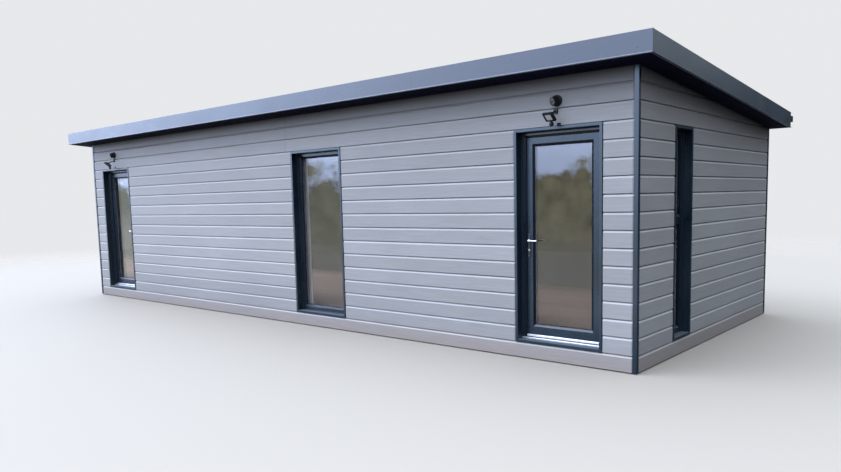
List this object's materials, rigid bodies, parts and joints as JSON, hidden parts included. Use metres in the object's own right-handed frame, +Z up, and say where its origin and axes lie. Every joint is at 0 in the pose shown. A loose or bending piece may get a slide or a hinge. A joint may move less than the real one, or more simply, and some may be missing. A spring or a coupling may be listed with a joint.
{
  "type": "garden office pod",
  "caption": "Long single-storey garden office pod with grooved board cladding, glazed inward-opening doors, full-height window, slit windows and an overhanging roof falling to a rear gutter.",
  "frame": {"origin": "on the ground, in the middle of the cladding's outline in plan", "axes": "+Z up, +X along the front towards the end with the visible slit window, the front faces -Y"},
  "size_m": [11.078, 4.5631, 2.9889],
  "materials": {
    "cladding": "light grey grooved composite board with a fine wood grain",
    "trim": "anthracite powder coat, satin",
    "fascia": "anthracite coated metal, smooth",
    "soffit": "black board",
    "wall": "white painted lining on insulated panel",
    "base": "treated timber",
    "floor": "oak laminate boards",
    "frame": "anthracite powder coat, satin",
    "glass": "clear double glazing",
    "threshold": "mill-finish extruded aluminium",
    "plate": "dark satin coat",
    "lever": "polished",
    "roof_sheet": "dark grey membrane",
    "rainwater": "black plastic",
    "fitting": "black plastic and coated metal"
  },
  "bodies": {
    "shell": {"base_frame": "base", "floor_boards": "floor", "front_left_pier": "wall", "front_left_panel": "wall", "front_right_panel": "wall", "front_right_pier": "wall", "front_header": "wall", "back_wall": "wall", "left_wall": "wall", "right_wall": "wall", "front_cladding": "cladding", "back_cladding": "cladding", "left_cladding": "cladding", "right_cladding": "cladding", "corner_trims": "trim", "left_door_trim": "trim", "right_door_trim": "trim", "window_trim": "trim", "slit_trims": "trim", "left_door_frame": "frame", "right_door_frame": "frame", "thresholds": "threshold", "window_frame": "frame", "window_glass": "glass", "slit_frames": "frame", "slit_glass": "glass", "roof_deck": "wall", "roof_sheet": "roof_sheet", "front_fascia": "fascia", "back_fascia": "fascia", "end_fascias": "fascia", "soffit": "soffit", "gutter": "rainwater", "downpipe": "rainwater", "floodlights": "fitting", "cameras": "fitting"},
    "left_door": {"left_door_leaf": "frame", "left_door_glass": "glass", "left_door_plates": "plate"},
    "right_door": {"right_door_leaf": "frame", "right_door_glass": "glass", "right_door_plates": "plate"},
    "left_lever": {"left_door_lever": "lever"},
    "right_lever": {"right_door_lever": "lever"}
  },
  "joints": [
    {"name": "left_door_hinge", "type": "hinge", "parent": "shell", "child": "left_door", "pos_m": [-4.871, -1.861, 1.25], "axis": [0, 0, 1], "range_deg": [0, 90]},
    {"name": "right_door_hinge", "type": "hinge", "parent": "shell", "child": "right_door", "pos_m": [4.871, -1.861, 1.25], "axis": [0, 0, -1], "range_deg": [0, 90]},
    {"name": "left_lever_spindle", "type": "hinge", "parent": "left_door", "child": "left_lever", "pos_m": [-4.08, -1.9, 1.2], "axis": [0, -1, 0], "range_deg": [0, 45], "stiffness_Nm_per_rad": 1.5, "springref_deg": -17.19},
    {"name": "right_lever_spindle", "type": "hinge", "parent": "right_door", "child": "right_lever", "pos_m": [4.08, -1.9, 1.2], "axis": [0, 1, 0], "range_deg": [0, 45], "stiffness_Nm_per_rad": 1.5, "springref_deg": -17.19}
  ]
}
